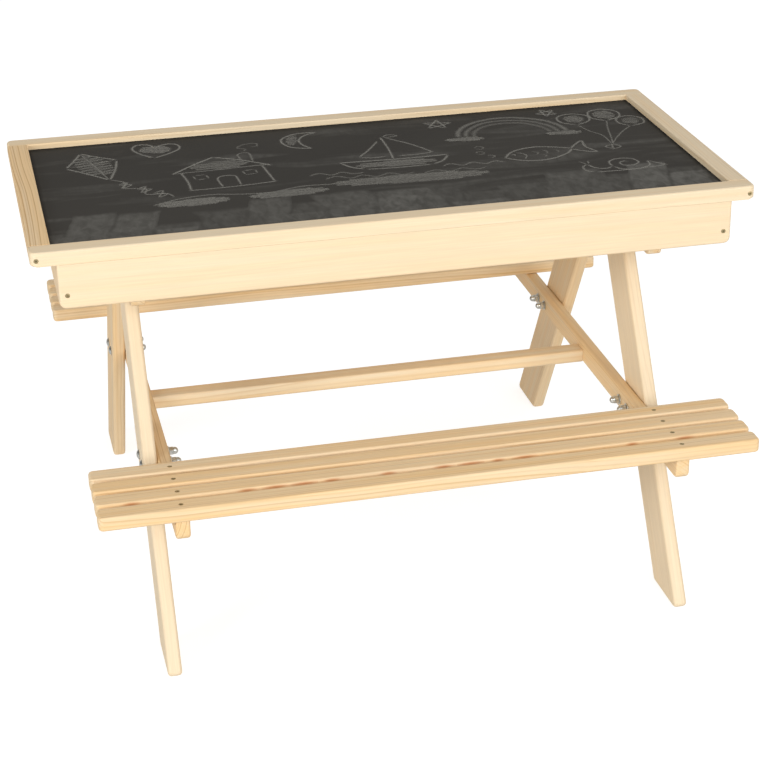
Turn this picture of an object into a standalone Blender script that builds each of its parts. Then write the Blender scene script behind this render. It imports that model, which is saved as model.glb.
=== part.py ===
"""Kids picnic table with two slatted benches and a lift-off chalkboard lid over a shallow play box.

Metres, +Z up. X runs along the table and Y across it. The origin is on the floor, under the middle.
The left side is at -X and the front at -Y.
"""

import math

import bmesh
import bpy
from mathutils import Matrix, Vector

# Fits
FIT = 0.0003  # gap between two pieces that touch
LID_END_PLAY = 0.004  # between a box end and the lid's end rail
LID_SIDE_PLAY = 0.001  # between a box end's tongue and the lid, at its sides and above it

# Overall sizes
TABLE_LENGTH = 0.920
TABLE_WIDTH = 0.450
TABLE_HEIGHT = 0.530
SEAT_HEIGHT = 0.254
BENCH_REACH = 0.3917  # from the middle of the table to the outer edge of a bench
FOOT_REACH = 0.3627  # from the middle of the table to the outer corner of a foot
FRAME_SETBACK = 0.0861  # from the outer face of a box end to the outer faces of the legs
BENCH_OVERHANG = 0.0726  # from the outer faces of the legs to the ends of the benches

# Timber
BATTEN_WIDTH = 0.027
BATTEN_THICKNESS = 0.018
BOARD_THICKNESS = 0.018
LEG_WIDTH = 0.072
APRON_HEIGHT = 0.057
EDGE_ROUNDING = 0.003
INNER_EDGE_ROUNDING = 0.0015
LEG_EDGE_ROUNDING = 0.0045
END_ROUNDING = 0.008
SLAT_END_ROUNDING = 0.006
FOOT_ROUNDING = 0.006
ROUNDING_STEPS = 3
ARC_STEP = math.radians(30)

# Lid
CHALKBOARD_THICKNESS = 0.0032
CHALKBOARD_RECESS = 0.008  # from the rails' top faces down to the chalkboard
CHALKBOARD_SEAT = 0.006  # how far the chalkboard reaches into the rails

# Play box
FLOOR_THICKNESS = 0.003
FLOOR_SEAT = 0.005  # how far the floor reaches into the aprons and the box ends
FLOOR_RISE = 0.0130  # from the bottom of the aprons to the underside of the floor

# End frames and benches
LEG_TOP_GAP = 0.0227  # between the tops of a front and a back leg
BEAM_SETBACK = 0.0055  # from a bench's outer edge to the end of a seat beam
SLAT_COUNT = 4
SLAT_GAP = 0.007

# Carriage bolts, washers and cap nuts
BOLT_RADIUS = 0.003
BOLT_SPACING = 0.030
BOLT_TIP_GAP = 0.001  # between a bolt's tip and the end of its nut's bore
BOLT_TIP_CHAMFER = 0.0006
HEAD_RADIUS = 0.00675
HEAD_HEIGHT = 0.0033
NECK_WIDTH = 0.0066
NECK_DEPTH = 0.004
WASHER_RADIUS = 0.007
WASHER_THICKNESS = 0.0016
NUT_ACROSS_FLATS = 0.010
NUT_HEIGHT = 0.012
NUT_CHAMFER = 0.0007
NUT_BORE_DEPTH = 0.008
HEXAGON_HEIGHT = 0.0055
CAP_RADIUS = 0.00475
ROUND_STEPS = 16
DOME_STEPS = 4

# Colours, linear, and finishes
PINE_CREAM = (0.84, 0.66, 0.42)
PINE_TAN = (0.72, 0.52, 0.29)
PLYWOOD = (0.66, 0.47, 0.27)
CHALK_GREY = (0.055, 0.052, 0.048)
ZINC = (0.55, 0.57, 0.58)
WOOD_ROUGHNESS = 0.55
CHALKBOARD_ROUGHNESS = 0.8
ZINC_ROUGHNESS = 0.35

# Rotations that lay a piece's own outline in a plane of the table
FLAT = (0.0, 0.0, 0.0)
ALONG = (math.pi / 2, 0.0, 0.0)
ACROSS = (math.pi / 2, 0.0, math.pi / 2)
ACROSS_FACING_FRONT = (math.pi / 2, 0.0, -math.pi / 2)

# Heights, from the top down
lid_underside = TABLE_HEIGHT - BATTEN_THICKNESS
chalkboard_top = TABLE_HEIGHT - CHALKBOARD_RECESS
chalkboard_underside = chalkboard_top - CHALKBOARD_THICKNESS
box_top = lid_underside - FIT
box_underside = box_top - APRON_HEIGHT
floor_underside = box_underside + FLOOR_RISE
top_rail_top = floor_underside - FIT
top_rail_underside = top_rail_top - BATTEN_WIDTH
leg_height = top_rail_underside - FIT
beam_top = SEAT_HEIGHT - BATTEN_THICKNESS - FIT
beam_underside = beam_top - BATTEN_WIDTH
beam_middle = beam_top - BATTEN_WIDTH / 2

# Places along the table
box_reach = TABLE_LENGTH / 2 - BATTEN_WIDTH - LID_END_PLAY
box_inner_reach = box_reach - BOARD_THICKNESS
frame_reach = box_reach - FRAME_SETBACK
bench_length = 2 * (frame_reach + BENCH_OVERHANG)
leg_inner_reach = frame_reach - BOARD_THICKNESS
frame_centre = frame_reach - BOARD_THICKNESS / 2
beam_outer_reach = leg_inner_reach - FIT
beam_inner_reach = beam_outer_reach - BATTEN_THICKNESS
beam_centre = beam_outer_reach - BATTEN_THICKNESS / 2

# Places across the table
apron_inner_reach = TABLE_WIDTH / 2 - BOARD_THICKNESS
lid_inner_reach = TABLE_WIDTH / 2 - BATTEN_WIDTH
beam_reach = BENCH_REACH - BEAM_SETBACK

# The legs' lean: the board's width, its height and its two ends' places across the table fix the angle
leg_span = FOOT_REACH - LEG_TOP_GAP / 2
leg_diagonal = math.hypot(leg_span, leg_height)
leg_lean = math.acos(LEG_WIDTH / leg_diagonal) - math.atan2(leg_height, leg_span)
leg_level_cut = LEG_WIDTH / math.cos(leg_lean)
foot_centre = FOOT_REACH - leg_level_cut / 2
leg_middle_at_beam = foot_centre - beam_middle * math.tan(leg_lean)

# Places of a bolt's washer and nut, from the seat beam's inner face towards the middle of the table
washer_centre = beam_inner_reach - FIT - WASHER_THICKNESS / 2
nut_seat = washer_centre - WASHER_THICKNESS / 2 - FIT
bolt_tip = nut_seat - NUT_BORE_DEPTH + BOLT_TIP_GAP
head_seat = frame_reach + FIT
bolt_length = head_seat - bolt_tip

SIDES = {"left": -1, "right": 1}
ENDS = {"front": -1, "back": 1}


def clear_scene():
    """Removes every object that the file holds."""
    for obj in list(bpy.data.objects):
        bpy.data.objects.remove(obj, do_unlink=True)


def make_collection(name):
    """Adds a collection to the scene."""
    collection = bpy.data.collections.new(name)
    bpy.context.scene.collection.children.link(collection)
    return collection


def make_empty(name, location):
    """Adds an empty that carries the pieces of one body."""
    empty = bpy.data.objects.new(name, None)
    empty.location = location
    parts.objects.link(empty)
    return empty


def make_object(name, mesh, collection, location, rotation):
    """Adds an object at its place."""
    obj = bpy.data.objects.new(name, mesh)
    obj.location = location
    obj.rotation_euler = rotation
    collection.objects.link(obj)
    return obj


def carry(obj, parent):
    """Parents a piece to its body's empty and keeps its place."""
    obj.parent = parent
    obj.matrix_parent_inverse = Matrix.Translation(-parent.location)


def paint(obj, colour, roughness, metallic=0.0):
    """Gives a piece its own material."""
    material = bpy.data.materials.new(obj.name)
    material.use_nodes = True
    shader = material.node_tree.nodes["Principled BSDF"]
    shader.inputs["Base Color"].default_value = (*colour, 1.0)
    shader.inputs["Roughness"].default_value = roughness
    shader.inputs["Metallic"].default_value = metallic
    obj.data.materials.clear()
    obj.data.materials.append(material)


def rounded_outline(corners):
    """Points of a closed outline, anticlockwise, and the rounding of the side that leaves each.

    A corner is (x, y, its radius in the outline, the rounding of the side that leaves it).
    """
    points = []
    roundings = []
    for i, (x, y, radius, rounding) in enumerate(corners):
        corner = Vector((x, y))
        to_last = (Vector(corners[i - 1][:2]) - corner).normalized()
        to_next = (Vector(corners[(i + 1) % len(corners)][:2]) - corner).normalized()
        if radius == 0:
            points.append(corner)
            roundings.append(rounding)
            continue
        turn = math.pi - to_last.angle(to_next)
        if to_next.x * to_last.y - to_next.y * to_last.x < 0:
            direction = -1
        else:
            direction = 1
        centre = corner + (to_last + to_next).normalized() * radius / math.cos(turn / 2)
        spoke = corner + to_last * radius * math.tan(turn / 2) - centre
        steps = math.ceil(turn / ARC_STEP)
        arc_rounding = max(corners[i - 1][3], rounding)
        for step in range(steps + 1):
            spin = Matrix.Rotation(direction * turn * step / steps, 2)
            points.append(centre + spin @ spoke)
            roundings.append(arc_rounding)
        roundings[-1] = rounding
    return points, roundings


def outline_mesh(name, corners, thickness):
    """A board's mesh from its outline, and the largest rounding of its edges.

    Each edge round the two faces is weighted with its share of that rounding, for a Bevel modifier.
    """
    points, roundings = rounded_outline(corners)
    curve = bpy.data.curves.new(name, "CURVE")
    curve.dimensions = "2D"
    curve.fill_mode = "BOTH"
    curve.extrude = thickness / 2
    spline = curve.splines.new("POLY")
    spline.points.add(len(points) - 1)
    for spline_point, point in zip(spline.points, points):
        spline_point.co = (point.x, point.y, 0.0, 1.0)
    spline.use_cyclic_u = True
    drawing = make_object(name + "_outline", curve, parts, (0, 0, 0), FLAT)
    bpy.context.view_layer.update()
    evaluated = drawing.evaluated_get(bpy.context.evaluated_depsgraph_get())
    mesh = bpy.data.meshes.new_from_object(evaluated)
    bpy.data.objects.remove(drawing, do_unlink=True)
    bpy.data.curves.remove(curve)

    shape = bmesh.new()
    shape.from_mesh(mesh)
    bmesh.ops.remove_doubles(shape, verts=shape.verts, dist=0.00001)
    bmesh.ops.dissolve_limit(shape, angle_limit=math.radians(1), verts=shape.verts, edges=shape.edges)
    bmesh.ops.recalc_face_normals(shape, faces=shape.faces)
    largest = max(roundings)
    middles = [(points[i] + points[(i + 1) % len(points)]) / 2 for i in range(len(points))]
    weights = shape.edges.layers.float.new("bevel_weight_edge")
    for edge in shape.edges:
        start, end = (vert.co for vert in edge.verts)
        on_face = abs(start.z - end.z) < thickness / 2
        if largest > 0 and on_face and edge.calc_face_angle() > math.radians(45):
            middle = ((start + end) / 2).xy
            nearest = min(range(len(middles)), key=lambda i: (middles[i] - middle).length)
            edge[weights] = roundings[nearest] / largest
    shape.to_mesh(mesh)
    shape.free()
    mesh.name = name
    return mesh, largest


def make_board(name, corners, thickness, location, rotation, parent, colour=PINE_CREAM):
    """Adds a board cut to an outline, with its edges rounded over."""
    mesh, rounding = outline_mesh(name, corners, thickness)
    board = make_object(name, mesh, parts, location, rotation)
    if rounding > 0:
        bevel = board.modifiers.new("Rounded edges", "BEVEL")
        bevel.limit_method = "WEIGHT"
        bevel.width = rounding
        bevel.segments = ROUNDING_STEPS
    paint(board, colour, WOOD_ROUGHNESS)
    carry(board, parent)
    return board


def rectangle(length, width, radius, rounding):
    """Corners of a batten's outline, centred, alike at both ends and both sides."""
    x = length / 2
    y = width / 2
    return [
        (-x, -y, radius, rounding),
        (x, -y, radius, rounding),
        (x, y, radius, rounding),
        (-x, y, radius, rounding),
    ]


def butt_ended(length, width, first_rounding, second_rounding):
    """Corners of a batten's outline with square ends. The first rounding is for the side at -y."""
    x = length / 2
    y = width / 2
    return [
        (-x, -y, 0, first_rounding),
        (x, -y, 0, 0),
        (x, y, 0, second_rounding),
        (-x, y, 0, 0),
    ]


def make_cutter(name, mesh, location, rotation=FLAT):
    """Adds a piece that only cuts others."""
    cutter = make_object(name, mesh, cutters, location, rotation)
    cutter.hide_render = True
    cutter.display_type = "WIRE"
    return cutter


def box_mesh(name, size):
    """A box's mesh, centred, with its size in its points."""
    mesh = bpy.data.meshes.new(name)
    shape = bmesh.new()
    bmesh.ops.create_cube(shape, size=1.0, matrix=Matrix.Diagonal((*size, 1.0)))
    shape.to_mesh(mesh)
    shape.free()
    return mesh


def cut(obj, cutter, operation="DIFFERENCE"):
    """Cuts, joins or trims a piece with another."""
    boolean = obj.modifiers.new(cutter.name, "BOOLEAN")
    boolean.object = cutter
    boolean.operation = operation
    boolean.solver = "EXACT"


def finished_mesh(obj):
    """A piece's mesh with its modifiers applied. The piece itself is removed."""
    bpy.context.view_layer.update()
    evaluated = obj.evaluated_get(bpy.context.evaluated_depsgraph_get())
    mesh = bpy.data.meshes.new_from_object(evaluated)
    mesh.shade_smooth()
    mesh.set_sharp_from_angle(angle=math.radians(35))
    mesh.name = obj.name
    bpy.data.objects.remove(obj, do_unlink=True)
    return mesh


def turned(name, profile, closed=False):
    """Adds a piece turned about its own Z axis from (radius, height) points, from the top down."""
    mesh = bpy.data.meshes.new(name)
    shape = bmesh.new()
    verts = [shape.verts.new((radius, 0.0, height)) for radius, height in profile]
    for above, below in zip(verts, verts[1:]):
        shape.edges.new((above, below))
    if closed:
        shape.edges.new((verts[-1], verts[0]))
    shape.to_mesh(mesh)
    shape.free()
    piece = make_object(name, mesh, cutters, (0, 0, 0), FLAT)
    screw = piece.modifiers.new("Turned", "SCREW")
    screw.steps = ROUND_STEPS
    screw.render_steps = ROUND_STEPS
    screw.use_merge_vertices = True
    screw.merge_threshold = 0.00001
    return piece


def dome(radius, angle, height):
    """(radius, height) points of a ball's cap, from its pole at a height down to an angle."""
    turns = [angle * step / DOME_STEPS for step in range(DOME_STEPS + 1)]
    return [(radius * math.sin(turn), height - radius * (1 - math.cos(turn))) for turn in turns]


def carriage_bolt_mesh():
    """A domed head with a square neck and a shank, with the head's seat at the origin and +Z outwards."""
    dome_radius = (HEAD_RADIUS**2 + HEAD_HEIGHT**2) / (2 * HEAD_HEIGHT)
    profile = dome(dome_radius, math.asin(HEAD_RADIUS / dome_radius), HEAD_HEIGHT)
    profile += [
        (BOLT_RADIUS, 0.0),
        (BOLT_RADIUS, BOLT_TIP_CHAMFER - bolt_length),
        (BOLT_RADIUS - BOLT_TIP_CHAMFER, -bolt_length),
        (0.0, -bolt_length),
    ]
    bolt = turned("carriage_bolt", profile)
    neck_top = HEAD_HEIGHT / 4
    neck = box_mesh("neck", (NECK_WIDTH, NECK_WIDTH, NECK_DEPTH + neck_top))
    square = make_cutter("neck", neck, (0, 0, (neck_top - NECK_DEPTH) / 2))
    cut(bolt, square, "UNION")
    mesh = finished_mesh(bolt)
    bpy.data.objects.remove(square, do_unlink=True)
    return mesh


def washer_mesh():
    """A plain washer, centred."""
    top = WASHER_THICKNESS / 2
    hole = BOLT_RADIUS + FIT
    ring = [(hole, top), (WASHER_RADIUS, top), (WASHER_RADIUS, -top), (hole, -top)]
    return finished_mesh(turned("washer", ring, closed=True))


def cap_nut_mesh():
    """A cap nut with its seat at the origin, its cap at -Z and a blind bore for the bolt."""
    corner_radius = NUT_ACROSS_FLATS / math.sqrt(3)
    prism = bpy.data.meshes.new("cap_nut")
    shape = bmesh.new()
    bmesh.ops.create_cone(
        shape,
        cap_ends=True,
        segments=6,
        radius1=corner_radius,
        radius2=corner_radius,
        depth=HEXAGON_HEIGHT,
        matrix=Matrix.Translation((0, 0, -HEXAGON_HEIGHT / 2)),
    )
    shape.to_mesh(prism)
    shape.free()
    nut = make_object("cap_nut", prism, cutters, (0, 0, 0), FLAT)

    flat_radius = NUT_ACROSS_FLATS / 2
    reach = corner_radius + FIT
    slope = NUT_CHAMFER * (reach - flat_radius) / (corner_radius - flat_radius)
    top = FIT
    bottom = -HEXAGON_HEIGHT - FIT
    barrel_profile = [
        (0.0, top),
        (flat_radius, top),
        (reach, top - slope),
        (reach, bottom + slope),
        (flat_radius, bottom),
        (0.0, bottom),
    ]
    cap_profile = [(0.0, -HEXAGON_HEIGHT / 2), (CAP_RADIUS, -HEXAGON_HEIGHT / 2)]
    for radius, height in reversed(dome(CAP_RADIUS, math.pi / 2, 0.0)):
        cap_profile.append((radius, -height - NUT_HEIGHT))
    bore_radius = BOLT_RADIUS + FIT
    bore_profile = [(0.0, top), (bore_radius, top), (bore_radius, -NUT_BORE_DEPTH), (0.0, -NUT_BORE_DEPTH)]

    barrel = turned("nut_barrel", barrel_profile)
    cap = turned("nut_cap", cap_profile)
    bore = turned("nut_bore", bore_profile)
    cut(nut, barrel, "INTERSECT")
    cut(nut, cap, "UNION")
    cut(nut, bore)
    mesh = finished_mesh(nut)
    for cutter in (barrel, cap, bore):
        bpy.data.objects.remove(cutter, do_unlink=True)
    return mesh


def bolt_hole_mesh():
    """What a bolt takes out of a leg and a seat beam: a round hole and the square seat of its neck."""
    past = 2 * FIT
    radius = BOLT_RADIUS + FIT
    through = [(0.0, past), (radius, past), (radius, -bolt_length), (0.0, -bolt_length)]
    hole = turned("bolt_hole", through)
    width = NECK_WIDTH + 2 * FIT
    depth = NECK_DEPTH + FIT
    seat = box_mesh("neck_seat", (width, width, depth + 2 * past))
    square = make_cutter("neck_seat", seat, (0, 0, past - depth / 2))
    cut(hole, square, "UNION")
    mesh = finished_mesh(hole)
    bpy.data.objects.remove(square, do_unlink=True)
    return mesh


def make_lid(lid):
    """The lift-off lid: four rails round a chalkboard that sits in grooves."""
    chalkboard_size = (
        2 * (TABLE_LENGTH / 2 - BATTEN_WIDTH + CHALKBOARD_SEAT),
        2 * (lid_inner_reach + CHALKBOARD_SEAT),
        CHALKBOARD_THICKNESS,
    )
    chalkboard_place = (0, 0, (chalkboard_top + chalkboard_underside) / 2)
    groove = make_cutter(
        "chalkboard_groove", box_mesh("chalkboard_groove", [s + 2 * FIT for s in chalkboard_size]), chalkboard_place
    )
    length, width, _ = chalkboard_size
    board = make_board(
        "lid_chalkboard", rectangle(length, width, 0, 0), CHALKBOARD_THICKNESS, chalkboard_place, FLAT, lid
    )
    paint(board, CHALK_GREY, CHALKBOARD_ROUGHNESS)

    x = TABLE_LENGTH / 2
    y = BATTEN_WIDTH / 2
    height = TABLE_HEIGHT - BATTEN_THICKNESS / 2
    long_rail = [
        (-x, -y, END_ROUNDING, EDGE_ROUNDING),
        (x, -y, END_ROUNDING, EDGE_ROUNDING),
        (x, y, 0, INNER_EDGE_ROUNDING),
        (-x, y, 0, EDGE_ROUNDING),
    ]
    turns = {"front": 0.0, "back": math.pi}
    for end, sign in ENDS.items():
        place = (0, sign * (TABLE_WIDTH / 2 - BATTEN_WIDTH / 2), height)
        rail = make_board(f"lid_{end}_rail", long_rail, BATTEN_THICKNESS, place, (0, 0, turns[end]), lid)
        cut(rail, groove)
    short_rail = butt_ended(2 * (lid_inner_reach - FIT), BATTEN_WIDTH, EDGE_ROUNDING, INNER_EDGE_ROUNDING)
    turns = {"left": -math.pi / 2, "right": math.pi / 2}
    for side, sign in SIDES.items():
        place = (sign * (TABLE_LENGTH / 2 - BATTEN_WIDTH / 2), 0, height)
        rail = make_board(f"lid_{side}_rail", short_rail, BATTEN_THICKNESS, place, (0, 0, turns[side]), lid, PINE_TAN)
        cut(rail, groove)


def make_play_box(table):
    """The shallow box under the lid: two aprons, two tongued ends and a floor that sits in grooves."""
    floor_size = (
        2 * (box_inner_reach + FLOOR_SEAT),
        2 * (apron_inner_reach + FLOOR_SEAT),
        FLOOR_THICKNESS,
    )
    floor_place = (0, 0, floor_underside + FLOOR_THICKNESS / 2)
    groove = make_cutter("floor_groove", box_mesh("floor_groove", [s + 2 * FIT for s in floor_size]), floor_place)
    length, width, _ = floor_size
    make_board("box_floor", rectangle(length, width, 0, 0), FLOOR_THICKNESS, floor_place, FLAT, table, PLYWOOD)

    x = box_reach
    z = APRON_HEIGHT / 2
    apron = [
        (-x, -z, END_ROUNDING, EDGE_ROUNDING),
        (x, -z, END_ROUNDING, EDGE_ROUNDING),
        (x, z, 0, 0),
        (-x, z, 0, EDGE_ROUNDING),
    ]
    for end, sign in ENDS.items():
        place = (0, sign * (TABLE_WIDTH / 2 - BOARD_THICKNESS / 2), box_underside + z)
        board = make_board(f"box_{end}_apron", apron, BOARD_THICKNESS, place, ALONG, table)
        cut(board, groove)

    shoulder = apron_inner_reach - FIT
    tongue = min(lid_inner_reach - LID_SIDE_PLAY, shoulder)
    tongue_top = chalkboard_underside - LID_SIDE_PLAY - box_underside
    tongued_end = [
        (-shoulder, 0, 0, INNER_EDGE_ROUNDING),
        (shoulder, 0, 0, 0),
        (shoulder, APRON_HEIGHT, 0, 0),
        (tongue, APRON_HEIGHT, 0, 0),
        (tongue, tongue_top, INNER_EDGE_ROUNDING, INNER_EDGE_ROUNDING),
        (-tongue, tongue_top, INNER_EDGE_ROUNDING, 0),
        (-tongue, APRON_HEIGHT, 0, 0),
        (-shoulder, APRON_HEIGHT, 0, 0),
    ]
    for side, sign in SIDES.items():
        place = (sign * (box_reach - BOARD_THICKNESS / 2), 0, box_underside)
        board = make_board(f"box_{side}_end", tongued_end, BOARD_THICKNESS, place, ACROSS, table, PINE_TAN)
        cut(board, groove)


def make_end_frames(table):
    """Two A-shaped frames of splayed legs, each under a top rail and bolted to a seat beam."""
    run = leg_height * math.tan(leg_lean)
    half_cut = leg_level_cut / 2
    leg = [
        (-half_cut, 0, FOOT_ROUNDING, LEG_EDGE_ROUNDING),
        (half_cut, 0, FOOT_ROUNDING, LEG_EDGE_ROUNDING),
        (half_cut - run, leg_height, 0, 0),
        (-half_cut - run, leg_height, 0, LEG_EDGE_ROUNDING),
    ]
    y = apron_inner_reach - FIT
    z = BATTEN_WIDTH / 2
    top_rail = [
        (-y, -z, END_ROUNDING, INNER_EDGE_ROUNDING),
        (y, -z, END_ROUNDING, INNER_EDGE_ROUNDING),
        (y, z, 0, INNER_EDGE_ROUNDING),
        (-y, z, 0, INNER_EDGE_ROUNDING),
    ]
    y = beam_reach
    seat_beam = [
        (-y, -z, END_ROUNDING, EDGE_ROUNDING),
        (y, -z, END_ROUNDING, EDGE_ROUNDING),
        (y, z, 0, EDGE_ROUNDING),
        (-y, z, 0, EDGE_ROUNDING),
    ]
    turns = {"front": ACROSS_FACING_FRONT, "back": ACROSS}
    outward = {"left": (0, -math.pi / 2, 0), "right": (0, math.pi / 2, 0)}
    hole = bolt_hole_mesh()
    bolt = carriage_bolt_mesh()
    washer = washer_mesh()
    nut = cap_nut_mesh()
    for side, x_sign in SIDES.items():
        place = (x_sign * frame_centre, 0, top_rail_underside + z)
        make_board(f"top_rail_{side}", top_rail, BOARD_THICKNESS, place, ACROSS, table)
        place = (x_sign * beam_centre, 0, beam_middle)
        beam = make_board(f"seat_beam_{side}", seat_beam, BATTEN_THICKNESS, place, ACROSS, table, PINE_TAN)
        for end, y_sign in ENDS.items():
            place = (x_sign * frame_centre, y_sign * foot_centre, 0)
            board = make_board(f"leg_{end}_{side}", leg, BOARD_THICKNESS, place, turns[end], table)
            for number, offset in enumerate((BOLT_SPACING / 2, -BOLT_SPACING / 2), start=1):
                label = f"{end}_{side}_{number}"
                y = y_sign * (leg_middle_at_beam + offset)
                turn = outward[side]
                cutter = make_cutter(f"hole_{label}", hole, (x_sign * head_seat, y, beam_middle), turn)
                cut(board, cutter)
                cut(beam, cutter)
                fasteners = {
                    "bolt": (bolt, head_seat),
                    "washer": (washer, washer_centre),
                    "nut": (nut, nut_seat),
                }
                for kind, (mesh, reach) in fasteners.items():
                    place = (x_sign * reach, y, beam_middle)
                    piece = make_object(f"{kind}_{label}", mesh.copy(), parts, place, turn)
                    paint(piece, ZINC, ZINC_ROUGHNESS, metallic=1.0)
                    carry(piece, table)


def make_stretcher(table):
    """The batten that ties the two seat beams together, lying flat and flush with their undersides."""
    outline = butt_ended(2 * (beam_inner_reach - FIT), BATTEN_WIDTH, EDGE_ROUNDING, EDGE_ROUNDING)
    place = (0, 0, beam_underside + BATTEN_THICKNESS / 2)
    make_board("stretcher", outline, BATTEN_THICKNESS, place, FLAT, table)


def make_benches(table):
    """Two benches of equal slats that lie on the seat beams, counted from the outer edge inwards."""
    outline = rectangle(bench_length, BATTEN_WIDTH, SLAT_END_ROUNDING, EDGE_ROUNDING)
    for end, sign in ENDS.items():
        for number in range(SLAT_COUNT):
            reach = BENCH_REACH - BATTEN_WIDTH / 2 - number * (BATTEN_WIDTH + SLAT_GAP)
            place = (0, sign * reach, SEAT_HEIGHT - BATTEN_THICKNESS / 2)
            name = f"{end}_slat_{number + 1}"
            make_board(name, outline, BATTEN_THICKNESS, place, FLAT, table, PINE_TAN)


clear_scene()
parts = make_collection("kids_picnic_table")
cutters = make_collection("cutters")
table_body = make_empty("table", (0, 0, 0))
lid_body = make_empty("lid_lift", (0, 0, lid_underside))
make_lid(lid_body)
make_play_box(table_body)
make_end_frames(table_body)
make_stretcher(table_body)
make_benches(table_body)
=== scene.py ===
"""Kids picnic table: the finish of its timber, chalkboard, screws and bolts, and a plain studio.

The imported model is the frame, in metres. X runs along the table, Y across it to the back, and Z up.
"""

import math
import random
from functools import partial

import bpy
from bpy.props import FloatProperty, FloatVectorProperty, PointerProperty
from mathutils import Matrix, Vector


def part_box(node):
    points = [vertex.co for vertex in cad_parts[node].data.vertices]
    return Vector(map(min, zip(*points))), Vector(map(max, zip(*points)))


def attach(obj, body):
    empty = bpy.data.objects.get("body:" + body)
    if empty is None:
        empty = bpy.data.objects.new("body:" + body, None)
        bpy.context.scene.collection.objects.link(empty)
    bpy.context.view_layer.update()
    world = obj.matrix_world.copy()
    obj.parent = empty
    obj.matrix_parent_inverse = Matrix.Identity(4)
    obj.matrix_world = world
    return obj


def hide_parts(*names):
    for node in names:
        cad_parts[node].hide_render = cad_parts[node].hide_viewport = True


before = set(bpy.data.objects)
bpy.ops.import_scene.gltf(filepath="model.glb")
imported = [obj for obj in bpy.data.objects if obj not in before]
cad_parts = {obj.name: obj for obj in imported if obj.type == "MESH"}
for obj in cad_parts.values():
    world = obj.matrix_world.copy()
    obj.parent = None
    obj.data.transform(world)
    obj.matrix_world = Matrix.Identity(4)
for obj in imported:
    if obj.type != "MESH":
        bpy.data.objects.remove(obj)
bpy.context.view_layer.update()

bl_info = {
    "name": "Kids Picnic Table",
    "version": (1, 0, 0),
    "blender": (4, 5, 0),
    "location": "View3D > Sidebar > Picnic Table",
    "description": "Finishes a kids picnic table with timber, a chalkboard, screws, bolts and a plain studio",
    "category": "Object",
}

X_AXIS = Vector((1, 0, 0))
Y_AXIS = Vector((0, 1, 0))
Z_AXIS = Vector((0, 0, 1))
ENDS = ("front", "back")
SIDES = ("left", "right")
OUTWARD = {"front": -Y_AXIS, "back": Y_AXIS, "left": -X_AXIS, "right": X_AXIS}

# Growth of each board: how far the heart of the tree lies from the middle of the board, across it and
# through it in millimetres, how warm its colour is and how strongly its rings show, both about 0 to 1,
# and its knots: none, a few scattered ones, or a row of side knots along its outer edge
NONE, SCATTERED, ROW = 0, 1, 2
BOARD_GROWTH = {
    "lid_front_rail": (120, 40, 0.15, 0.16, NONE),
    "lid_back_rail": (-105, -50, 0.15, 0.35, NONE),
    "lid_left_rail": (62, -20, 0.95, 1.35, NONE),
    "lid_right_rail": (-82, -47, 0.05, 0.40, NONE),
    "box_front_apron": (150, 60, 0.16, 0.07, NONE),
    "box_back_apron": (-14, 88, 0.40, 0.45, SCATTERED),
    "box_left_end": (11, -93, 0.40, 0.50, SCATTERED),
    "box_right_end": (-18, 84, 0.35, 0.50, SCATTERED),
    "leg_front_left": (95, -60, -0.20, 0.20, NONE),
    "leg_front_right": (-110, 50, -0.10, 0.18, NONE),
    "leg_back_left": (27, 86, 0.60, 0.50, SCATTERED),
    "leg_back_right": (-85, -60, 0.45, 0.35, NONE),
    "top_rail_left": (34, 52, 0.50, 0.60, NONE),
    "top_rail_right": (-29, 61, 0.45, 0.60, NONE),
    "seat_beam_left": (31, -57, 1.00, 0.80, NONE),
    "seat_beam_right": (-66, -46, 0.75, 0.50, NONE),
    "stretcher": (75, -52, 0.35, 0.55, NONE),
    "front_slat_1": (63, -56, 0.70, 0.55, NONE),
    "front_slat_2": (-78, -41, 0.55, 0.55, ROW),
    "front_slat_3": (94, 38, 0.60, 0.50, SCATTERED),
    "front_slat_4": (-69, -65, 0.50, 0.50, NONE),
    "back_slat_1": (75, -55, 0.60, 0.50, SCATTERED),
    "back_slat_2": (-17, 78, 0.50, 0.50, SCATTERED),
    "back_slat_3": (82, -46, 0.70, 0.60, NONE),
    "back_slat_4": (-65, -70, 0.60, 0.55, SCATTERED),
    "box_floor": (0, 140, 0.30, 0.50, NONE),
}


def scribble(x, y, half_width, half_height, turns):
    """Points of a stroke that goes to and fro to fill an oval."""
    points = []
    for turn in range(2 * turns + 1):
        rise = turn / turns - 1
        half = half_width * math.sqrt(1 - 0.9 * rise**2)
        points.append((x + (half if turn % 2 else -half), y + rise * half_height))
    return points


def arch(radius):
    """Points of a half circle."""
    angles = [math.pi * step / 8 for step in range(9)]
    return [(-radius * math.cos(angle), radius * math.sin(angle)) for angle in angles]


def sides(width, pressure, points, spans=2):
    """Strokes that run from corner to corner, each over a few spans between the points."""
    corners = range(0, len(points) - 1, spans)
    return [(width, pressure, points[corner : corner + spans + 1]) for corner in corners]


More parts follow.
